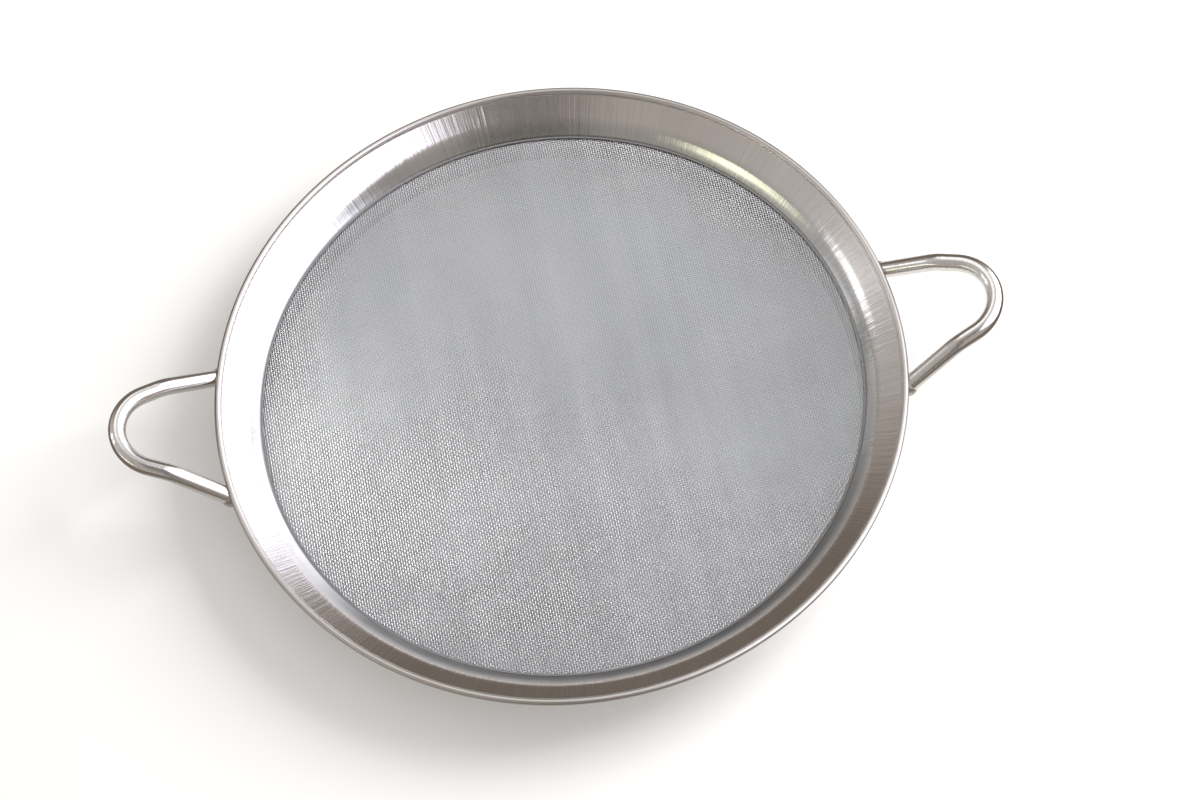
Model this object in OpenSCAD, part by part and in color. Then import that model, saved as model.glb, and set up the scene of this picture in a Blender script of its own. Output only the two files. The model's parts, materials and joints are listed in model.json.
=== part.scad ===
// Double sieve strainer: a shallow round sieve with two loop handles,
// nested in a second sieve that stands underneath it.
// Millimetres, +Z up. The origin is on the table, at the centre of the foot.
// The handles lie along X.

/* [Upper sieve] */
// Outside diameter of the upper rim, over its rolled bead
rim_d = 240; // [200:1:300]
// Diameter of the rolled bead on the upper rim
bead_d = 2.4; // [2.2:0.1:3]
// Radial width from the bead's outside to the edge of the mesh opening
rim_w = 15; // [14.5:0.5:16]
// Depth from the bead's centre to the top of the mesh
dish_depth = 11; // [10.5:0.5:11.5]
// Slope of the conical rim above horizontal
cone_angle = 32; // [30:1:34]
// Slope of the short wall between the cone and the mesh
wall_angle = 50; // [48:1:58]

/* [Sheet and cloth] */
// Thickness of the steel sheet
sheet_t = 0.6; // [0.5:0.05:0.7]
// Thickness of the upper woven cloth, over both wires
upper_cloth_t = 0.7; // [0.3:0.05:0.9]
// Thickness of the lower, finer woven cloth, over both wires
lower_cloth_t = 0.5; // [0.2:0.05:0.8]
// Thickness of the clamp rings that hold the cloths
clamp_t = 0.8; // [0.6:0.1:1.2]

/* [Handles] */
// Diameter of the handle rod
rod_d = 6; // [5:0.1:6.2]
// How far the rod's centreline reaches past the rim's outside at a handle's tip
handle_reach = 31.5; // [30:0.5:40]
// How far past the rim's outside the two legs bend down into the loop
knee_out = 15; // [13:0.5:17]
// Half the distance between a handle's two legs where they bend
leg_spread = 16.6; // [15.6:0.2:18]
// Bend radius of a handle's tip, on the rod's centreline
tip_bend = 14.8; // [13:0.2:15.4]
// Upward slope of the legs between the rim and the bend
leg_rise = 32; // [27:1:37]
// Upward slope of the loop beyond the bend
loop_rise = 13; // [6:1:18]
// How far the rod's centreline passes below the bead's centre at the rim
rod_drop = 3.2; // [3:0.1:3.6]

/* [Lower sieve] */
// Height of the upper bead's centre above the table
bead_z = 22.8; // [21:0.2:30]
// Radial distance from the upper rim's outside to the middle of the lower lip's curl
lip_inset = 5.5; // [5.3:0.1:6.5]
// Gap between the two sieves where they nest
nest_gap = 0.05; // [0.03:0.01:0.1]

/* [Hidden] */
$fn = 180;

R = rim_d / 2;                       // outside radius
rb = bead_d / 2;                     // bead radius
rc = R - rb;                         // radius of the bead's centre circle
ri = R - rim_w;                      // mesh opening radius
mesh_z = bead_z - dish_depth;        // top of the upper cloth
flange_z = mesh_z + sheet_t;         // top of the upper flange

// A point moved by d along the direction a
function go(p, a, d) = [p[0] + d * cos(a), p[1] + d * sin(a)];
// Where the line through p at angle a crosses the line through q at angle b
function cross_at(p, a, q, b) =
    let (d = ((q[0] - p[0]) * sin(b) - (q[1] - p[1]) * cos(b)) / sin(b - a)) go(p, a, d);
// Points along an arc of radius r about c, from angle a to angle b
function arc(c, r, a, b, n = 8) = [for (i = [0:n]) go(c, a + (b - a) * i / n, r)];

// Upper rim, top face: the cone comes down from the bead to a shoulder,
// and a steeper wall runs from the shoulder to the flange
cone_top = [rc - 0.9, bead_z - 0.35];
wall_foot = [ri + 0.8, flange_z];
shoulder = cross_at(cone_top, cone_angle, wall_foot, wall_angle);
// The same faces one sheet thickness lower
cone_low = go(cone_top, cone_angle - 90, sheet_t);
wall_low = go(wall_foot, wall_angle - 90, sheet_t);
shoulder_low = cross_at(cone_low, cone_angle, wall_low, wall_angle);
foot_low = cross_at(wall_low, wall_angle, [ri, mesh_z], 0);
// Shoulder arcs: the top face turns on shoulder_r + sheet_t, the low face on shoulder_r
shoulder_r = 7;
knee_r = 14;                         // bend radius of a handle's knees
turn = wall_angle - cone_angle;
arc_c = go(go(shoulder_low, cone_angle, shoulder_r * tan(turn / 2)), cone_angle - 90, shoulder_r);

// Lower sieve: its lip lies parallel to the upper cone, nest_gap below it
lip_r = R - lip_inset;
lip_top = go(cone_low, cone_angle - 90, nest_gap);
// The lip's curl hangs from the lip's outer end
curl_r = 1.1;
curl_top = cross_at(lip_top, cone_angle, [lip_r - curl_r * sin(cone_angle), 0], 90);
curl_c = go(curl_top, cone_angle - 90, curl_r);
// Collar wall, from the lip down to the foot
collar_top_r = shoulder[0] + 0.9;
collar_foot_r = ri + 2.2;
collar_a = atan2(bead_z - dish_depth + 4, collar_top_r - collar_foot_r);
collar_out = [collar_foot_r, 0];
collar_in = go(collar_out, collar_a + 90, sheet_t);
lip_under = go(lip_top, cone_angle - 90, sheet_t);
bend_out = cross_at(lip_under, cone_angle, collar_out, collar_a);
bend_in = cross_at(lip_top, cone_angle, collar_in, collar_a);
lower_ri = ri - 0.8;                 // lower mesh opening radius
foot_in = cross_at(collar_in, collar_a, [0, sheet_t], 0);
lower_bend_r = 2;
lower_turn = collar_a - cone_angle;
lower_arc_c = go(go(bend_out, cone_angle, lower_bend_r * tan(lower_turn / 2)),
                 cone_angle - 90, lower_bend_r);

// Handle rod. The loop lies in a plane that slopes up by loop_rise from the line through both knees.
knee_x = R + knee_out;
bend_u = (handle_reach - knee_out) / cos(loop_rise) - tip_bend;  // tip's bend centre, out from the knees
leg_len = sqrt(bend_u * bend_u + leg_spread * leg_spread);
// Angle of a leg in the loop's plane, from the outward direction, and the tip bend's end angle
leg_a = atan2(leg_spread, bend_u) - asin(tip_bend / leg_len);
leg_run = sqrt(leg_len * leg_len - tip_bend * tip_bend);
bend_end = 90 - leg_a;
// The same leg seen from above: its heading, and its slope beyond the knee
heading = atan2(sin(leg_a), cos(leg_a) * cos(loop_rise));
outer_rise = asin(cos(leg_a) * sin(loop_rise));
// Distance from above between the knee and the rim's outside, and where the leg meets the rim
knee_dot = knee_x * cos(heading) - leg_spread * sin(heading);
leg_plan = knee_dot - sqrt(knee_dot * knee_dot - knee_x * knee_x - leg_spread * leg_spread + R * R);
root_x = knee_x - leg_plan * cos(heading);
root_y = leg_spread + leg_plan * sin(heading);
root_z = bead_z - rod_drop;
knee_z = root_z + leg_plan * tan(leg_rise);
knee_t = knee_r * tan((leg_rise - outer_rise) / 2);  // tangent length of the knee's bend

// Section of the rolled bead: the sheet's edge curled under, round the edge wire
module bead_section() {
    difference() {
        translate([rc, bead_z]) circle(r = rb);
        translate([rc, bead_z]) circle(r = rb - sheet_t + 0.02);
        // the sheet's free edge stops short of the cone, on the bead's underside
        translate([rc, bead_z])
            polygon([[0, 0], go([0, 0], 212, 3), go([0, 0], 228, 3), go([0, 0], 244, 3)]);
    }
}

// Section of the upper rim below the bead: cone, shoulder, wall and flange
module cone_section() {
    polygon(concat(
        [go(cone_top, cone_angle, 0), go(cone_low, cone_angle, 0)],
        arc(arc_c, shoulder_r, cone_angle + 90, wall_angle + 90),
        [foot_low, [ri, mesh_z], [ri, flange_z], go(wall_foot, 180, 0.35),
         go(wall_foot, wall_angle, 0.35)],
        arc(arc_c, shoulder_r + sheet_t, wall_angle + 90, cone_angle + 90)));
}

// Section of the lower lip's curl
module curl_section() {
    difference() {
        translate(curl_c) circle(r = curl_r);
        translate(curl_c) circle(r = curl_r - sheet_t + 0.02);
        translate(curl_c) polygon([[0, 0], go([0, 0], 168, 3), go([0, 0], 190, 3), go([0, 0], 212, 3)]);
    }
}

// Section of the lower rim: lip, collar and foot flange
module collar_section() {
    polygon(concat(
        [curl_top, go(curl_top, cone_angle - 90, sheet_t)],
        arc(lower_arc_c, lower_bend_r, cone_angle + 90, collar_a + 90),
        [go(collar_out, collar_a, 0.5), go(collar_out, 180, 0.5), [lower_ri, 0], [lower_ri, sheet_t], foot_in],
        arc(lower_arc_c, lower_bend_r + sheet_t, collar_a + 90, cone_angle + 90)));
}

module upper_rim() {
    color([0.72, 0.70, 0.68]) union() {
        rotate_extrude() bead_section();
        rotate_extrude() cone_section();
    }
}

// Wire rolled into the bead
module upper_edge_wire() {
    color([0.62, 0.60, 0.58])
        translate([0, 0, bead_z]) rotate_extrude() translate([rc, 0]) circle(r = rb - sheet_t - 0.02);
}

module cloth(r, top, t) {
    translate([0, 0, top - t]) cylinder(r = r, h = t);
}

module upper_mesh() {
    color([0.71, 0.69, 0.68]) cloth(ri + 1.3, mesh_z, upper_cloth_t);
}

module clamp_ring(r_in, r_out, z) {
    translate([0, 0, z]) rotate_extrude() translate([r_in, 0]) square([r_out - r_in, clamp_t]);
}

module upper_clamp_ring() {
    color([0.60, 0.59, 0.57]) clamp_ring(ri, ri + 1.8, mesh_z - upper_cloth_t - clamp_t);
}

// A straight length of rod from a to b along X
module straight(a, b) {
    translate([a, 0, 0]) rotate([0, 90, 0]) cylinder(d = rod_d, h = b - a);
}

// One leg of a handle: side is 1 or -1. The straight lengths run 0.05 mm into the bends.
module leg(side) {
    translate([knee_x, side * leg_spread, knee_z]) rotate([0, 0, -side * heading]) {
        rotate([0, -leg_rise, 0]) straight(-leg_plan / cos(leg_rise) - 6, 0.05 - knee_t);
        translate([-knee_t * cos(leg_rise) + knee_r * sin(leg_rise), 0,
                   -knee_t * sin(leg_rise) - knee_r * cos(leg_rise)])
            rotate([90, 0, 0]) rotate([0, 0, 90 + outer_rise])
                rotate_extrude(angle = leg_rise - outer_rise)
                    translate([knee_r, 0]) circle(d = rod_d - 0.02);
        rotate([0, -outer_rise, 0]) straight(knee_t - 0.05, leg_run + 0.05);
    }
}

// The bends are 0.02 mm thinner than the straight lengths, as a bent rod draws down a little
module rod() {
    leg(1);
    leg(-1);
    translate([knee_x, 0, knee_z]) rotate([0, -loop_rise, 0])
        translate([bend_u, 0, 0]) rotate([0, 0, -bend_end])
            rotate_extrude(angle = 2 * bend_end) translate([tip_bend, 0]) circle(d = rod_d - 0.02);
}

// Everything inside the rim's outside face: the rods stop here
module rim_envelope(gap) {
    translate([0, 0, bead_z - 20]) cylinder(r = R + gap, h = 40);
}

// Both welds of one handle: a bead of filler round each rod end,
// running in under the rim to the cone's lower face
module weld_beads() {
    low = go(cone_low, cone_angle - 90, 0.02);
    outer = cross_at(low, cone_angle, [0, bead_z - rb - 0.02], 0);
    inner = cross_at(low, cone_angle, [R - 9, 0], 90);
    for (side = [-1, 1])
        difference() {
            translate([root_x - 0.4, side * root_y, root_z - 0.4]) sphere(r = rod_d / 2 + 0.6);
            rod();
            rotate_extrude() polygon([[R - 20, bead_z + 9], [R - 20, inner[1]], inner, outer,
                                      [R + 0.02, bead_z - rb - 0.02], [R + 0.02, bead_z + 9]]);
        }
}

module handle() {
    difference() {
        rod();
        rim_envelope(0.02);
    }
}

module right_handle() {
    color([0.80, 0.79, 0.77]) handle();
}

module left_handle() {
    color([0.80, 0.79, 0.77]) rotate([0, 0, 180]) handle();
}

module right_handle_welds() {
    color([0.66, 0.63, 0.58]) weld_beads();
}

module left_handle_welds() {
    color([0.66, 0.63, 0.58]) rotate([0, 0, 180]) weld_beads();
}

module lower_rim() {
    color([0.70, 0.69, 0.67]) union() {
        rotate_extrude() curl_section();
        rotate_extrude() collar_section();
    }
}

// Wire rolled into the lower lip's curl
module lower_edge_wire() {
    color([0.62, 0.60, 0.58]) rotate_extrude() translate(curl_c) circle(r = curl_r - sheet_t - 0.02);
}

module lower_mesh() {
    color([0.66, 0.65, 0.64]) cloth(lower_ri + 1.6, sheet_t + lower_cloth_t, lower_cloth_t);
}

module lower_clamp_ring() {
    color([0.60, 0.59, 0.57]) clamp_ring(lower_ri, lower_ri + 2, sheet_t + lower_cloth_t);
}

upper_rim();
upper_edge_wire();
upper_mesh();
upper_clamp_ring();
left_handle();
right_handle();
left_handle_welds();
right_handle_welds();
lower_rim();
lower_edge_wire();
lower_mesh();
lower_clamp_ring();
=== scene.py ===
import json
import math

import bpy
import numpy as np
from mathutils import Matrix, Vector

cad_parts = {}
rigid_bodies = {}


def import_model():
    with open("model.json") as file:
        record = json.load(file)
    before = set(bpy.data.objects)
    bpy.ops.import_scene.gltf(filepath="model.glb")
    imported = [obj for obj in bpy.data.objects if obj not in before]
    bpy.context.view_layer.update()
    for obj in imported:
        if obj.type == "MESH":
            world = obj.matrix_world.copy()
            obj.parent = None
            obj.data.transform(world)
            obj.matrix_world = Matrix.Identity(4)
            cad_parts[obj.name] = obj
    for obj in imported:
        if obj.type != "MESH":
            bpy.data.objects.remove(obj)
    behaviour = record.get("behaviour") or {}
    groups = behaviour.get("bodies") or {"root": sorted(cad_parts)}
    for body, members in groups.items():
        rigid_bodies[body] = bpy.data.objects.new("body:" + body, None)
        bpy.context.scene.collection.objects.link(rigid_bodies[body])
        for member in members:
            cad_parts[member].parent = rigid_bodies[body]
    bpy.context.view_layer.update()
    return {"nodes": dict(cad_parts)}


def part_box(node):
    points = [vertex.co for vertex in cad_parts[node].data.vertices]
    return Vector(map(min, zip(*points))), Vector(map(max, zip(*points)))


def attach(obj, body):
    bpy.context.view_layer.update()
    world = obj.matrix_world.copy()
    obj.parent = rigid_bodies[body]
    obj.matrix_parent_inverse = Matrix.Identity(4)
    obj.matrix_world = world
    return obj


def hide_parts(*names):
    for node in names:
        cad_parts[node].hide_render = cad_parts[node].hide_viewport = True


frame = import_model()
nodes = frame["nodes"]
UPPER, LOWER = "upper_sieve", "lower_sieve"
MM = 0.001

# ---------------------------------------------------------------- sizes, read from the frame
rim_lo, rim_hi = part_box("upper_rim")
R = rim_hi[0] / MM                      # outside radius of the upper rim
BEAD = 1.2                              # bead radius
BEAD_Z = rim_hi[2] / MM - BEAD          # height of the bead's centre
SHEET = 0.6
MESH_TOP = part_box("upper_mesh")[1][2] / MM
MESH_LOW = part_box("upper_mesh")[0][2] / MM
OPEN_R = R - 15.0                       # edge of the upper mesh opening
RC = R - BEAD


def go(p, a, d):
    a = math.radians(a)
    return (p[0] + d * math.cos(a), p[1] + d * math.sin(a))


def cross_at(p, a, q, b):
    a, b = math.radians(a), math.radians(b)
    d = ((q[0] - p[0]) * math.sin(b) - (q[1] - p[1]) * math.cos(b)) / math.sin(b - a)
    return (p[0] + d * math.cos(a), p[1] + d * math.sin(a))


def arc(c, r, a, b, n):
    return [go(c, a + (b - a) * i / n, r) for i in range(n + 1)]


def corner(a, p, b, r, n=4):
    """Points that round the corner p between a and b."""
    u = np.subtract(a, p) / np.linalg.norm(np.subtract(a, p))
    v = np.subtract(b, p) / np.linalg.norm(np.subtract(b, p))
    half = math.acos(max(-1, min(1, float(u @ v)))) / 2
    t = r / math.tan(half)
    c = np.array(p) + (u + v) / np.linalg.norm(u + v) * r / math.sin(half)
    s, e = np.array(p) + u * t, np.array(p) + v * t
    a0 = math.atan2(*(s - c)[::-1])
    a1 = math.atan2(*(e - c)[::-1])
    while a1 - a0 > math.pi:
        a1 -= 2 * math.pi
    while a1 - a0 < -math.pi:
        a1 += 2 * math.pi
    return [(c[0] + r * math.cos(a0 + (a1 - a0) * i / n), c[1] + r * math.sin(a0 + (a1 - a0) * i / n)) for i in range(n + 1)]


def split(p, q, n):
    return [(p[0] + (q[0] - p[0]) * i / n, p[1] + (q[1] - p[1]) * i / n) for i in range(1, n)]


# ---------------------------------------------------------------- mesh helpers
def mesh_object(name, verts, faces, smooth=True, sharp=None):
    me = bpy.data.meshes.new(name)
    verts = np.asarray(verts, np.float32)
    faces = np.asarray(faces, np.int32)
    me.vertices.add(len(verts))
    me.vertices.foreach_set("co", verts.ravel())
    k = faces.shape[1]
    me.loops.add(faces.size)
    me.loops.foreach_set("vertex_index", faces.ravel())
    me.polygons.add(len(faces))
    me.polygons.foreach_set("loop_start", np.arange(0, faces.size, k, dtype=np.int32))
    me.polygons.foreach_set("loop_total", np.full(len(faces), k, np.int32))
    me.polygons.foreach_set("use_smooth", np.full(len(faces), smooth, bool))
    me.update(calc_edges=True)
    me.validate()
    if sharp is not None:
        me.set_sharp_from_angle(angle=math.radians(sharp))
    ob = bpy.data.objects.new(name, me)
    bpy.context.scene.collection.objects.link(ob)
    return ob


def lathe(name, outline, seg, wobble=None, sharp=40):
    """Turns a closed outline of (r, z) in millimetres round the Z axis. The outline runs anticlockwise."""
    pts = np.array(outline, float)
    area = 0.5 * np.sum(pts[:, 0] * np.roll(pts[:, 1], -1) - np.roll(pts[:, 0], -1) * pts[:, 1])
    if area < 0:
        pts = pts[::-1]
    n = len(pts)
    th = np.linspace(0, 2 * np.pi, seg, endpoint=False)
    r = np.repeat(pts[:, 0][:, None], seg, 1)
    z = np.repeat(pts[:, 1][:, None], seg, 1)
    if wobble is not None:
        dr, dz = wobble(th, pts)
        r, z = r + dr, z + dz
    v = np.stack([r * np.cos(th), r * np.sin(th), z], -1).reshape(-1, 3) * MM
    i = np.arange(n)[:, None]
    j = np.arange(seg)[None, :]
    a = i * seg + j
    b = i * seg + (j + 1) % seg
    c = ((i + 1) % n) * seg + (j + 1) % seg
    d = ((i + 1) % n) * seg + j
    f = np.stack([a, b, c, d], -1).reshape(-1, 4)[:, ::-1]
    return mesh_object(name, v, f[:, ::-1], True, sharp)


# ---------------------------------------------------------------- node helpers
def tree(mat):
    mat.use_nodes = True
    nt = mat.node_tree
    nt.nodes.clear()
    return nt


class G:
    """A short way to write node trees."""

    def __init__(self, nt):
        self.nt = nt

    def n(self, kind, **kw):
        x = self.nt.nodes.new(kind)
        for k, v in kw.items():
            setattr(x, k, v)
        return x

    def put(self, sock, v):
        if isinstance(v, bpy.types.NodeSocket):
            self.nt.links.new(v, sock)
        elif v is not None:
            sock.default_value = v

    def m(self, op, a, b=None, c=None, clamp=False):
        x = self.n("ShaderNodeMath", operation=op, use_clamp=clamp)
        for s, v in zip(x.inputs, (a, b, c)):
            self.put(s, v)
        return x.outputs[0]

    def vm(self, op, a, b=None):
        x = self.n("ShaderNodeVectorMath", operation=op)
        self.put(x.inputs[0], a)
        if b is not None:
            self.put(x.inputs[1], b)
        return x.outputs["Value"] if op in ("DOT_PRODUCT", "LENGTH") else x.outputs[0]

    def ramp(self, v, lo, hi, to_lo=0.0, to_hi=1.0, kind="SMOOTHSTEP"):
        x = self.n("ShaderNodeMapRange", interpolation_type=kind)
        for s, q in zip(x.inputs[:5], (v, lo, hi, to_lo, to_hi)):
            self.put(s, q)
        return x.outputs[0]

    def mix(self, f, a, b, blend="MIX"):
        x = self.n("ShaderNodeMix", data_type="RGBA", blend_type=blend)
        self.put(x.inputs[0], f)
        self.put(x.inputs[6], a)
        self.put(x.inputs[7], b)
        return x.outputs[2]

    def noise(self, vec, scale, detail=2.0, rough=0.5, dist=0.0):
        x = self.n("ShaderNodeTexNoise")
        self.put(x.inputs["Vector"], vec)
        x.inputs["Scale"].default_value = scale
        x.inputs["Detail"].default_value = detail
        x.inputs["Roughness"].default_value = rough
        x.inputs["Distortion"].default_value = dist
        return x.outputs[0]

    def xyz(self, x, y, z):
        c = self.n("ShaderNodeCombineXYZ")
        for s, v in zip(c.inputs, (x, y, z)):
            self.put(s, v)
        return c.outputs[0]

    def polar(self):
        """Object coordinates in millimetres: x, y, z, the radius and the unit direction round the axis."""
        co = self.n("ShaderNodeTexCoord").outputs["Object"]
        s = self.n("ShaderNodeSeparateXYZ")
        self.put(s.inputs[0], co)
        x, y, z = (self.m("MULTIPLY", s.outputs[i], 1000.0) for i in range(3))
        r = self.m("SQRT", self.m("ADD", self.m("MULTIPLY", x, x), self.m("MULTIPLY", y, y)))
        r = self.m("MAXIMUM", r, 0.01)
        return x, y, z, r, self.m("DIVIDE", x, r), self.m("DIVIDE", y, r)

    def steel(self, color, rough, normal=None, aniso=0.0, tangent=None, rot=0.0):
        p = self.n("ShaderNodeBsdfPrincipled")
        p.inputs["Metallic"].default_value = 1.0
        self.put(p.inputs["Base Color"], color)
        self.put(p.inputs["Roughness"], rough)
        self.put(p.inputs["Anisotropic"], aniso)
        p.inputs["Anisotropic Rotation"].default_value = rot
        if normal is not None:
            self.put(p.inputs["Normal"], normal)
        if tangent is not None:
            self.put(p.inputs["Tangent"], tangent)
        o = self.n("ShaderNodeOutputMaterial")
        self.nt.links.new(p.outputs[0], o.inputs[0])
        return p

    def bump(self, height, distance, strength=1.0, normal=None):
        b = self.n("ShaderNodeBump")
        b.inputs["Strength"].default_value = strength
        b.inputs["Distance"].default_value = distance
        self.put(b.inputs["Height"], height)
        if normal is not None:
            self.put(b.inputs["Normal"], normal)
        return b.outputs[0]

    def around_z(self):
        return self.n("ShaderNodeTangent", direction_type="RADIAL", axis="Z").outputs[0]


def rgb(r, g, b):
    return (r, g, b, 1.0)


# ---------------------------------------------------------------- materials
def rim_steel():
    """Sheet brushed with radial strokes from the bead to the mesh, polished on the bead."""
    mat = bpy.data.materials.new("rim_steel")
    g = G(tree(mat))
    x, y, z, r, cx, cy = g.polar()
    # strokes: fast round the axis, slow along the radius
    fine = g.noise(g.xyz(g.m("MULTIPLY", cx, 620.0), g.m("MULTIPLY", cy, 620.0), g.m("MULTIPLY", r, 0.06)), 1.0, 3.0, 0.65)
    wide = g.noise(g.xyz(g.m("MULTIPLY", cx, 150.0), g.m("MULTIPLY", cy, 150.0), g.m("MULTIPLY", r, 0.035)), 1.0, 3.0, 0.6)
    broad = g.noise(g.xyz(g.m("MULTIPLY", cx, 46.0), g.m("MULTIPLY", cy, 46.0), g.m("MULTIPLY", r, 0.035)), 1.0, 2.0, 0.55)
    slow = g.noise(g.xyz(g.m("MULTIPLY", cx, 9.0), g.m("MULTIPLY", cy, 9.0), g.m("MULTIPLY", r, 0.03)), 1.0, 2.0, 0.5)
    sheet = g.ramp(r, R - 3.0, R - 2.2, 1.0, 0.0)          # 1 on the sheet, 0 on the bead
    wall = g.ramp(r, OPEN_R + 2.4, OPEN_R + 6.5, 1.0, 0.0)  # 1 on the wall beside the mesh
    flange = g.ramp(r, OPEN_R + 0.9, OPEN_R + 1.4, 1.0, 0.0)
    stroke = g.m("ADD", g.m("MULTIPLY", fine, 0.45), g.m("MULTIPLY", wide, 0.75))
    tone = g.m("MULTIPLY", g.ramp(stroke, 0.38, 0.82, -1.0, 1.0, "LINEAR"), sheet)
    value = g.m("ADD", 1.0, g.m("MULTIPLY", tone, 0.05))
    value = g.m("MULTIPLY", value, g.ramp(slow, 0.2, 0.8, 0.97, 1.03))
    # painted light on the wall beside the mesh: darker towards the near side as painted shade, and near white on the
    # left as a painted highlight
    low = g.mix(g.ramp(cy, -0.75, -0.15, 1.0, 0.0), rgb(0.52, 0.52, 0.505), rgb(0.27, 0.27, 0.262))
    low = g.mix(g.ramp(cx, -0.93, -0.70, 1.0, 0.0), low, rgb(0.90, 0.90, 0.90))
    base = g.mix(wall, rgb(0.71, 0.675, 0.645), low)
    base = g.mix(sheet, rgb(0.62, 0.585, 0.55), base)
    base = g.mix(flange, base, rgb(0.245, 0.24, 0.235))      # painted shade in the crease where the cloth meets the flange
    base = g.mix(g.m("MULTIPLY", g.ramp(r, R - 1.1, R - 0.4), g.ramp(cy, -0.6, 0.1, 0.25, 1.0)), base, rgb(0.33, 0.29, 0.25))          # painted dark reflection on the bead's outer face, strongest on the far side
    color = g.mix(1.0, base, g.xyz(value, value, value), "MULTIPLY")
    rough = g.m("ADD", g.m("MULTIPLY", sheet, -0.205), 0.32)
    rough = g.m("ADD", rough, g.m("MULTIPLY", flange, 0.14))
    rough = g.m("ADD", rough, g.m("MULTIPLY", g.m("MULTIPLY", g.ramp(r, OPEN_R + 4.5, OPEN_R + 8.0, 1.0, 0.0), g.ramp(cy, -0.6, -0.1, 1.0, 0.0)), 0.27))
    rough = g.m("ADD", rough, g.m("MULTIPLY", g.m("MULTIPLY", tone, sheet), 0.03))
    height = g.m("MULTIPLY", g.m("ADD", g.m("MULTIPLY", wide, 3.0), g.m("MULTIPLY", fine, 0.55)), g.m("ADD", g.m("MULTIPLY", sheet, 0.95), 0.05))
    scuff = g.noise(g.xyz(x, y, z), 0.35, 3.0, 0.55)
    normal = g.bump(height, 1.7e-5)
    normal = g.bump(g.m("MULTIPLY", broad, sheet), 0.55e-4, 1.0, normal)
    normal = g.bump(scuff, 0.15e-5, 1.0, normal)
    g.steel(color, rough, normal, g.m("MULTIPLY", sheet, 0.42), g.around_z())
    return mat


def turned_steel(name, base, k=1.0, dull=0.0):
    """Satin sheet with fine lines that run round the axis."""
    mat = bpy.data.materials.new(name)
    g = G(tree(mat))
    x, y, z, r, cx, cy = g.polar()
    lines = g.noise(g.xyz(g.m("MULTIPLY", cx, 7.0), g.m("MULTIPLY", cy, 7.0), g.m("MULTIPLY", g.m("ADD", r, z), 7.0 * k)), 1.0, 4.0, 0.7)
    cloud = g.noise(g.xyz(x, y, z), 0.06, 3.0, 0.5)
    value = g.m("MULTIPLY", g.ramp(lines, 0.3, 0.7, 0.92, 1.06), g.ramp(cloud, 0.25, 0.75, 0.95, 1.04))
    color = g.mix(1.0, rgb(*base), g.xyz(value, value, value), "MULTIPLY")
    rough = g.ramp(lines, 0.3, 0.7, 0.24 + dull, 0.34 + dull)
    normal = g.bump(lines, 8e-6)
    tangent = g.n("ShaderNodeTangent", direction_type="RADIAL", axis="Z").outputs[0]
    g.steel(color, rough, normal, 0.6, tangent, 0.25)
    return mat


def rod_steel():
    """Polished rod with faint draw lines and small scuffs."""
    mat = bpy.data.materials.new("rod_steel")
    g = G(tree(mat))
    x, y, z, r, cx, cy = g.polar()
    v = g.xyz(x, y, z)
    draw = g.noise(g.xyz(g.m("MULTIPLY", x, 0.12), g.m("MULTIPLY", y, 2.4), g.m("MULTIPLY", z, 2.4)), 1.0, 3.0, 0.6)
    scuff = g.noise(v, 0.9, 4.0, 0.65)
    pits = g.ramp(g.noise(v, 2.6, 2.0, 0.5), 0.70, 0.80, 0.0, 1.0)
    color = g.mix(g.ramp(scuff, 0.35, 0.75, 0.0, 0.55), rgb(0.78, 0.75, 0.72), rgb(0.64, 0.61, 0.57))
    color = g.mix(g.m("MULTIPLY", pits, 0.5), color, rgb(0.22, 0.20, 0.18))
    rough = g.ramp(scuff, 0.3, 0.75, 0.07, 0.17)
    normal = g.bump(draw, 1.0e-5)
    normal = g.bump(scuff, 2.0e-5, 1.0, normal)
    g.steel(color, rough, normal)
    return mat


def weld_metal():
    """Cleaned weld metal: dull, slightly brown, with heat colour."""
    mat = bpy.data.materials.new("weld_metal")
    g = G(tree(mat))
    x, y, z, r, cx, cy = g.polar()
    v = g.xyz(x, y, z)
    grain = g.noise(v, 2.2, 4.0, 0.6)
    tint = g.noise(v, 0.6, 2.0, 0.5)
    color = g.mix(g.ramp(tint, 0.35, 0.7), rgb(0.56, 0.52, 0.47), rgb(0.42, 0.36, 0.30))
    color = g.mix(g.ramp(grain, 0.5, 0.8, 0.0, 0.5), color, rgb(0.24, 0.22, 0.21))
    g.steel(color, g.ramp(grain, 0.3, 0.7, 0.28, 0.5), g.bump(grain, 6e-5))
    return mat


def wire_steel(name, base, streak=0.10):
    """Wire of a woven cloth. Each wire has its own tone, in the attribute 'wire', which gives the cloth its faint streaks."""
    mat = bpy.data.materials.new(name)
    g = G(tree(mat))
    x, y, z, r, cx, cy = g.polar()
    a = g.n("ShaderNodeAttribute", attribute_name="wire").outputs["Fac"]
    v = g.xyz(x, y, g.m("MULTIPLY", z, 2.0))
    cloud = g.noise(v, 0.030, 3.0, 0.55)
    dust = g.ramp(g.noise(v, 0.75, 1.0, 0.5), 0.83, 0.86, 0.0, 1.0)
    value = g.m("ADD", 1.0, g.m("MULTIPLY", g.m("SUBTRACT", a, 0.5), 2 * streak))
    value = g.m("MULTIPLY", value, g.ramp(cloud, 0.25, 0.75, 0.95, 1.05))
    color = g.mix(1.0, rgb(*base), g.xyz(value, value, value), "MULTIPLY")
    color = g.mix(g.m("MULTIPLY", dust, 0.8), color, rgb(0.10, 0.085, 0.07))
    rough = g.m("ADD", 0.34, g.m("MULTIPLY", a, 0.10))
    grain = g.noise(v, 6.0, 2.0, 0.5)
    g.steel(color, rough, g.bump(grain, 8e-6))
    return mat


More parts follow.
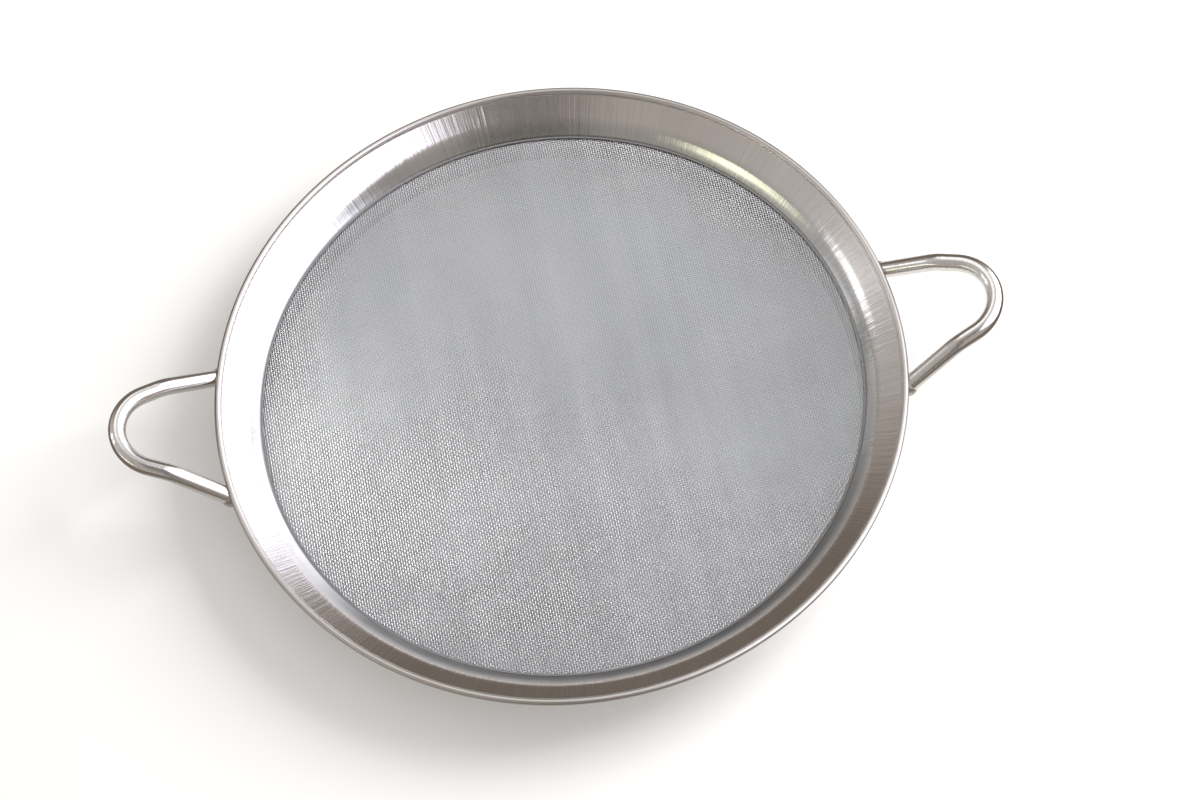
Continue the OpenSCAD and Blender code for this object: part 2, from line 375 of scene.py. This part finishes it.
M_RIM = rim_steel()
# paler than the upper rim's steel: painted light that lifts the shade seen through the upper cloth
M_LOWER = turned_steel("lower_steel", (0.84, 0.825, 0.81), 1.0, 0.14)
M_CLAMP = turned_steel("clamp_steel", (0.54, 0.53, 0.51), 1.6)
M_EDGE = turned_steel("edge_wire_steel", (0.55, 0.53, 0.51), 2.0)
M_ROD = rod_steel()
M_WELD = weld_metal()
M_CLOTH = wire_steel("upper_wire", (0.565, 0.56, 0.555), 0.12)
# paler than the upper wire of the same steel: painted light that lifts the shade between the two cloths
M_CLOTH2 = wire_steel("lower_wire", (0.82, 0.81, 0.80), 0.04)


def dress(ob, mat, body=None, stands_for=()):
    ob.data.materials.clear()
    ob.data.materials.append(mat)
    if body:
        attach(ob, body)
    if stands_for:
        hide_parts(*stands_for)


def repaint(node, mat):
    ob = nodes[node]
    if not ob.material_slots:
        ob.data.materials.append(mat)
    for s in ob.material_slots:
        s.link = "OBJECT"
        s.material = mat


# ---------------------------------------------------------------- upper rim
CONE, WALL = 32.0, 50.0
bead_c = (RC, BEAD_Z)
cone_top = (RC - 0.9, BEAD_Z - 0.35)
flange_z = MESH_TOP + SHEET
wall_foot = (OPEN_R + 0.8, flange_z)
shoulder = cross_at(cone_top, CONE, wall_foot, WALL)
cone_low = go(cone_top, CONE - 90, SHEET)
wall_low = go(wall_foot, WALL - 90, SHEET)
shoulder_low = cross_at(cone_low, CONE, wall_low, WALL)
foot_low = cross_at(wall_low, WALL, (OPEN_R, MESH_TOP), 0)
SR = 12.0                               # the spun shoulder is one long soft curve
turn = WALL - CONE
arc_c = go(go(shoulder_low, CONE, SR * math.tan(math.radians(turn / 2))), CONE - 90, SR)


def upper_outline():
    # small hollow fillet between the cone's top face and the bead
    rf = 0.45
    n = (-math.sin(math.radians(CONE)), math.cos(math.radians(CONE)))
    d = (math.cos(math.radians(CONE)), math.sin(math.radians(CONE)))
    p = (cone_top[0] + rf * n[0] - bead_c[0], cone_top[1] + rf * n[1] - bead_c[1])
    pd = p[0] * d[0] + p[1] * d[1]
    t = -pd - math.sqrt(pd * pd - (p[0] ** 2 + p[1] ** 2) + (BEAD + rf) ** 2)
    fc = (bead_c[0] + p[0] + t * d[0], bead_c[1] + p[1] + t * d[1])
    a_bead = math.degrees(math.atan2(fc[1] - bead_c[1], fc[0] - bead_c[0])) % 360
    start = 270 + CONE                     # direction from the fillet's centre down to the cone
    end = (a_bead + 180) % 360             # direction from it to the bead
    if end < start - 180:
        end += 360
    out = arc(fc, rf, start, end, 7)
    out += arc(bead_c, BEAD, a_bead, -116, 40)[1:]
    inner = arc(bead_c, BEAD - SHEET + 0.02, -116, 212, 20)
    out += inner
    q = go(cone_top, CONE - 90, SHEET)
    out += [q]
    low = arc(arc_c, SR, CONE + 90, WALL + 90, 12)
    out += split(q, low[0], 5) + low
    out += corner(low[-1], foot_low, (OPEN_R, MESH_TOP), 0.25, 3)
    out += corner(foot_low, (OPEN_R, MESH_TOP), (OPEN_R, flange_z), 0.12, 3)
    out += corner((OPEN_R, MESH_TOP), (OPEN_R, flange_z), wall_foot, 0.2, 4)
    top = arc(arc_c, SR + SHEET, WALL + 90, CONE + 90, 16)
    out += corner((OPEN_R, flange_z), wall_foot, top[0], 0.45, 6)
    out += split(wall_foot, top[0], 3)[1:] + top
    out += split(top[-1], out[0], 7)
    return out


def rim_wobble(th, pts):
    """The spun sheet isn't perfect: waves of a few hundredths of a millimetre, fading to nothing at the bead's outside."""
    w = 0.030 * np.sin(3 * th + 0.7) + 0.022 * np.sin(7 * th + 2.1) + 0.014 * np.sin(13 * th + 4.0) + 0.010 * np.sin(23 * th + 1.3)
    k = np.clip((R - 2.6 - pts[:, 0]) / 3.0, 0, 1) * np.clip((pts[:, 0] - OPEN_R - 1.5) / 2.0, 0, 1)
    return np.zeros((len(pts), len(th))), k[:, None] * w[None, :]


rim = lathe("upper_rim_shell", upper_outline(), 576, rim_wobble, sharp=50)
dress(rim, M_RIM, UPPER, ("upper_rim",))

# ---------------------------------------------------------------- lower rim
CURL = 1.1
lip_top = go(cone_low, CONE - 90, 0.05)
lip_r = R - 5.5
curl_top = cross_at(lip_top, CONE, (lip_r - CURL * math.sin(math.radians(CONE)), 0), 90)
curl_c = go(curl_top, CONE - 90, CURL)
col_top_r, col_foot_r = shoulder[0] + 0.9, OPEN_R + 2.2
col_a = math.degrees(math.atan2(MESH_TOP + 4, col_top_r - col_foot_r))
col_out = (col_foot_r, 0.0)
col_in = go(col_out, col_a + 90, SHEET)
lip_under = go(lip_top, CONE - 90, SHEET)
bend_out = cross_at(lip_under, CONE, col_out, col_a)
LOW_R = OPEN_R - 0.8
foot_in = cross_at(col_in, col_a, (0, SHEET), 0)
BR = 2.0
larc_c = go(go(bend_out, CONE, BR * math.tan(math.radians((col_a - CONE) / 2))), CONE - 90, BR)


def lower_outline():
    out = arc(curl_c, CURL, CONE + 90, -148, 34)
    out += arc(curl_c, CURL - SHEET + 0.02, -148, CONE + 90, 20)
    low = arc(larc_c, BR, CONE + 90, col_a + 90, 12)
    out += split(out[-1], low[0], 4) + low
    out += split(low[-1], col_out, 6)
    out += corner(low[-1], col_out, (LOW_R, 0), 0.45, 5)
    out += corner(col_out, (LOW_R, 0), (LOW_R, SHEET), 0.12, 3)
    out += corner((LOW_R, 0), (LOW_R, SHEET), foot_in, 0.12, 3)
    top = arc(larc_c, BR + SHEET, col_a + 90, CONE + 90, 14)
    out += corner((LOW_R, SHEET), foot_in, top[0], 0.3, 4)
    out += split(foot_in, top[0], 6) + top
    out += split(top[-1], out[0], 4)
    return out


def low_wobble(th, pts):
    return np.zeros((len(pts), len(th))), np.repeat(np.where(pts[:, 1] > 6, -0.10, 0.0)[:, None], len(th), 1)


low_rim = lathe("lower_rim_shell", lower_outline(), 576, low_wobble, sharp=50)
dress(low_rim, M_LOWER, LOWER, ("lower_rim",))


# ---------------------------------------------------------------- woven cloths
def dents(x, y):
    """Shallow dents and a slight sag, in millimetres, at x and y in millimetres."""
    z = -0.30 * np.clip(1 - (x * x + y * y) / (OPEN_R ** 2), 0, 1)
    for cx, cy, s, d in ((-62, -70, 5.0, -0.32), (-54, -85, 4.0, 0.26), (-47, -78, 6.5, -0.22), (38, -52, 14, 0.10), (12, 40, 22, -0.10), (-40, 30, 18, 0.08)):
        z = z + d * np.exp(-((x - cx) ** 2 + (y - cy) ** 2) / (2 * s * s))
    return z


def wires(name, pitch, dia, edge, z_mid, turn_deg, across, parity, sides, shape, seed):
    """Every second wire of one direction of a plain weave: a chain of short prisms that rises and falls once at each crossing."""
    rng = np.random.default_rng(seed)
    half = int(edge / pitch) + 1
    tone = rng.random(2 * half + 1)
    drift = np.convolve(rng.random(2 * half + 9), np.ones(9) / 9, "valid")[: 2 * half + 1]
    tone = 0.35 * tone + 0.65 * np.clip((drift - 0.5) * 3 + 0.5, 0, 1)
    if across:
        tone = 0.5 + 0.3 * (tone - 0.5)
    nudge = (rng.random(2 * half + 1) - 0.5) * 0.10 * pitch
    V, F, A, base = [], [], [], 0
    ring = np.arange(sides) * 2 * np.pi / sides + (math.pi / 2 if sides % 2 else 0.0)
    for i in range(-half, half + 1):
        if (i % 2) != parity:
            continue
        off = i * pitch
        if abs(off) >= edge - 0.3:
            continue
        reach = math.sqrt(edge * edge - off * off)
        j0 = int(math.ceil(-reach / pitch + 0.15))
        j1 = int(math.floor(reach / pitch - 0.15))
        js = np.arange(j0, j1 + 1)
        s = np.concatenate([[-reach], js * pitch, [reach]])
        up = np.where((js + i) % 2 == 0, 1.0, -1.0) * (1 if across else -1)
        h = np.concatenate([[0.0], up, [0.0]]) * dia * 0.5
        m = len(s)
        o = np.full(m, off + nudge[i + half])
        px, py = (s, o) if across else (o, s)
        c, q = math.cos(math.radians(turn_deg)), math.sin(math.radians(turn_deg))
        X, Y = px * c - py * q, px * q + py * c
        Z = z_mid + h + (shape(X, Y) if shape else 0.0)
        side = np.array([-q, c]) if across else np.array([c, q])
        cr, sr = np.cos(ring) * dia / 2, np.sin(ring) * dia / 2
        P = np.empty((m, sides, 3))
        P[..., 0] = X[:, None] + side[0] * cr[None]
        P[..., 1] = Y[:, None] + side[1] * cr[None]
        P[..., 2] = Z[:, None] + sr[None]
        V.append(P.reshape(-1, 3))
        a = np.arange(m - 1)[:, None] * sides + np.arange(sides)[None]
        b = np.arange(m - 1)[:, None] * sides + (np.arange(sides)[None] + 1) % sides
        quad = np.stack([a, b, b + sides, a + sides], -1).reshape(-1, 4) + base
        F.append(quad if not across else quad[:, ::-1])
        A.append(np.full(m * sides, tone[i + half], np.float32))
        base += m * sides
    ob = mesh_object(name, np.concatenate(V) * MM, np.concatenate(F), True)
    at = ob.data.attributes.new("wire", "FLOAT", "POINT")
    at.data.foreach_set("value", np.concatenate(A))
    return ob


def cloth(name, pitch, dia, edge, z_mid, turn_deg, sides, shape, mat, body, node, seed):
    k = 0
    for across in (True, False):
        for parity in (0, 1):
            label = "weft" if across else "warp"
            ob = wires(f"{name}_{label}_{'ab'[parity]}", pitch, dia, edge, z_mid, turn_deg, across, parity, sides, shape, seed + (0 if across else 50))
            dress(ob, mat, body, (node,))
            k += 1


up_lo, up_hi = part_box("upper_mesh")
lo_lo, lo_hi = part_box("lower_mesh")
cloth("upper_cloth", 0.85, 0.40, up_hi[0] / MM - 0.15, (MESH_TOP + MESH_LOW) / 2, 2.5, 4, dents, M_CLOTH, UPPER, "upper_mesh", 11)
cloth("lower_cloth", 0.80, 0.25, lo_hi[0] / MM - 0.15, (lo_lo[2] + lo_hi[2]) / 2 / MM, 41.0, 3, None, M_CLOTH2, LOWER, "lower_mesh", 77)

# ---------------------------------------------------------------- CAD nodes that stay
repaint("upper_edge_wire", M_EDGE)
repaint("lower_edge_wire", M_EDGE)
repaint("upper_clamp_ring", M_CLAMP)
repaint("lower_clamp_ring", M_CLAMP)
for n in ("left_handle", "right_handle"):
    repaint(n, M_ROD)
for n in ("left_handle_welds", "right_handle_welds"):
    repaint(n, M_WELD)

# ---------------------------------------------------------------- floor, world and lights
SHOW = 1.0


VIEW = Vector((-0.0137, -0.458, 0.8888)).normalized()      # from the sieve towards the camera


def studio(g, d):
    """The light that steel reflects from each direction. A panel is placed by the surface that would mirror it into
    the camera: 'side' is the angle round the sieve and 'tilt' the slope of that surface towards the middle."""
    h = g.vm("NORMALIZE", g.vm("ADD", d, tuple(VIEW)))
    s = g.n("ShaderNodeSeparateXYZ")
    g.put(s.inputs[0], h)
    hx, hy, hz = s.outputs
    e = g.n("ShaderNodeSeparateXYZ")
    g.put(e.inputs[0], d)
    side = g.m("MULTIPLY", g.m("ARCTAN2", g.m("MULTIPLY", hy, -1.0), g.m("MULTIPLY", hx, -1.0)), 57.29578)   # -180 to 180
    turned = g.m("ADD", side, g.m("MULTIPLY", g.m("LESS_THAN", side, 0.0), 360.0))                            # 0 to 360
    tilt = g.m("MULTIPLY", g.m("ARCCOSINE", g.m("MINIMUM", hz, 0.99999)), 57.29578)

    def band(v, a, b, c, e):
        return g.m("MULTIPLY", g.ramp(v, a, b), g.ramp(v, c, e, 1.0, 0.0))

    def both(*k):
        out = k[0]
        for x in k[1:]:
            out = g.m("MULTIPLY", out, x)
        return out

    col = rgb(0.49, 0.455, 0.435)
    col = g.mix(band(side, -24, 10, 24, 60), col, rgb(0.60, 0.59, 0.585))                   # pale wall behind the right handle
    col = g.mix(band(turned, 208, 236, 316, 351), col, rgb(0.195, 0.168, 0.146))            # dark room on the far side
    slats = g.ramp(g.m("SINE", g.m("MULTIPLY", side, 1.35)), -0.5, 0.5, 0.05, 1.0)          # an open blind
    col = g.mix(g.m("MULTIPLY", both(band(side, 73, 80, 97, 103), band(tilt, 15, 22, 52, 60)), slats), col, rgb(0.075, 0.065, 0.06))
    col = g.mix(both(band(side, 5, 7, 10.0, 12), band(tilt, 25.0, 34.5, 41, 47)), col, rgb(3.2, 3.2, 3.4))        # window, first pane
    col = g.mix(both(band(side, 14.5, 16, 17.5, 19), band(tilt, 25.0, 34.5, 41, 47)), col, rgb(2.9, 2.9, 3.1))   # window, second pane
    col = g.mix(both(band(side, 24, 40, 51, 62), band(tilt, 45.9, 46.9, 47.6, 48.8)), col, rgb(3.2, 3.2, 2.4))       # low warm lamp
    col = g.mix(g.ramp(tilt, 53, 62), col, rgb(0.13, 0.11, 0.09))                           # dark floor of the room, which only the bead mirrors
    steep = g.m("MAXIMUM", g.m("SUBTRACT", tilt, 32.0), 0.0)
    start = g.ramp(g.m("SUBTRACT", turned, g.m("MULTIPLY", steep, 1.5)), 100, 114)
    end = g.m("ADD", turned, g.m("MULTIPLY", steep, 0.6))
    bars = g.ramp(g.m("SINE", g.m("MULTIPLY", end, 2.0)), -0.5, 0.6)
    bars = g.m("ADD", bars, g.ramp(end, 183, 212, 1.2, -0.35, "LINEAR"), clamp=True)
    stop = g.m("MULTIPLY", bars, g.ramp(end, 206, 216, 1.0, 0.0))
    col = g.mix(g.m("MULTIPLY", start, stop), col, rgb(2.6, 2.65, 3.05))                        # wide window on the right, with bars at its far end
    over = g.ramp(e.outputs[0], -0.50, 0.40, 1.75, 0.55, "LINEAR")
    over = g.m("MULTIPLY", over, g.ramp(e.outputs[1], 0.10, 0.80, 0.55, 1.40, "LINEAR"))
    col = g.mix(g.ramp(tilt, 8, 18, 1.0, 0.0), col, g.xyz(over, over, over))                 # pale ceiling
    return col


world = bpy.data.worlds.new("studio")
bpy.context.scene.world = world
g = G(tree(world))
coord = g.n("ShaderNodeTexCoord").outputs["Generated"]
path = g.n("ShaderNodeLightPath")
refl = studio(g, coord)
col = g.mix(path.outputs["Is Glossy Ray"], rgb(0.785, 0.77, 0.755), refl)
col = g.mix(path.outputs["Is Camera Ray"], col, rgb(0.96, 0.96, 0.96))
bg = g.n("ShaderNodeBackground")
g.put(bg.inputs[0], col)
bg.inputs[1].default_value = 1.0
wo = g.n("ShaderNodeOutputWorld")
g.nt.links.new(bg.outputs[0], wo.inputs[0])

# floor: a wide disc, plain and pale
seg = 96
fv = [(0.0, 0.0, 0.0)] + [(3.0 * math.cos(2 * math.pi * i / seg), 3.0 * math.sin(2 * math.pi * i / seg), 0.0) for i in range(seg)]
ff = [(0, 1 + i, 1 + (i + 1) % seg) for i in range(seg)]
floor = mesh_object("floor", np.array(fv) - np.array([0, 0, 0.00002]), ff, False)
fm = bpy.data.materials.new("floor_white")
g = G(tree(fm))
p = g.n("ShaderNodeBsdfPrincipled")
co = g.n("ShaderNodeTexCoord").outputs["Object"]
mott = g.noise(co, 6.0, 3.0, 0.5)
g.put(p.inputs["Base Color"], g.mix(g.ramp(mott, 0.3, 0.7), rgb(0.90, 0.895, 0.885), rgb(0.915, 0.91, 0.905)))
p.inputs["Roughness"].default_value = 0.85
p.inputs["Specular IOR Level"].default_value = 0.1
# in the steel's reflections the floor darkens with distance, as a table top in a room does
s = g.n("ShaderNodeSeparateXYZ")
g.put(s.inputs[0], co)
dist = g.m("SQRT", g.m("ADD", g.m("MULTIPLY", s.outputs[0], s.outputs[0]), g.m("MULTIPLY", s.outputs[1], s.outputs[1])))
far = g.ramp(dist, 0.118, 0.19)
em = g.n("ShaderNodeEmission")
g.put(em.inputs[0], rgb(0.20, 0.17, 0.145))
path = g.n("ShaderNodeLightPath")
mixs = g.n("ShaderNodeMixShader")
g.put(mixs.inputs[0], g.m("MULTIPLY", far, path.outputs["Is Glossy Ray"]))
g.nt.links.new(p.outputs[0], mixs.inputs[1])
g.nt.links.new(em.outputs[0], mixs.inputs[2])
fo = g.n("ShaderNodeOutputMaterial")
g.nt.links.new(mixs.outputs[0], fo.inputs[0])
floor.data.materials.append(fm)


def area(name, direction, dist, size, size_y, power, colour=(1, 1, 1)):
    l = bpy.data.lights.new(name, "AREA")
    l.shape = "RECTANGLE"
    l.size, l.size_y = size, size_y
    l.energy = power
    l.color = colour
    ob = bpy.data.objects.new(name, l)
    d = Vector(direction).normalized()
    ob.location = d * dist
    ob.rotation_euler = d.to_track_quat("Z", "Y").to_euler()
    bpy.context.scene.collection.objects.link(ob)
    ob.visible_glossy = False
    ob.visible_camera = False
    return ob


area("key", (0.79, 0.27, 0.60), 1.5, 0.95, 0.95, 21.5, (1.0, 0.995, 0.985))
# two small soft lamps that only the upper cloth catches, to its left and beyond it
only = bpy.data.collections.new("cloth_glow_receivers")
for ob in bpy.data.objects:
    if ob.name.startswith("upper_cloth_"):
        only.objects.link(ob)
for glow in (area("cloth_glow_left", (-0.88, 0.14, 0.46), 0.215, 0.08, 0.08, 0.42),
             area("cloth_glow_far", (0.14, 0.60, 0.77), 0.45, 0.22, 0.22, 0.62)):
    glow.visible_glossy = True
    glow.visible_diffuse = False
    glow.light_linking.receiver_collection = only

# ---------------------------------------------------------------- camera
cam = bpy.data.cameras.new("camera")
cam.sensor_width = 36.0
cam.lens = 74.41
cam.clip_start, cam.clip_end = 0.05, 20
cob = bpy.data.objects.new("camera", cam)
right = Vector((0.98652108, -0.15615187, -0.0489157))
up = Vector((0.16113573, 0.87499877, 0.45652211))
back = Vector((-0.0284856, -0.45825075, 0.88836638))
m = Matrix((right, up, back)).transposed().to_4x4()
m.translation = Vector((-0.01197484, -0.40180922, 0.77996977))
cob.matrix_world = m
bpy.context.scene.collection.objects.link(cob)
bpy.context.scene.camera = cob
bpy.context.scene.view_settings.view_transform = "Standard"
bpy.context.scene.view_settings.look = "None"
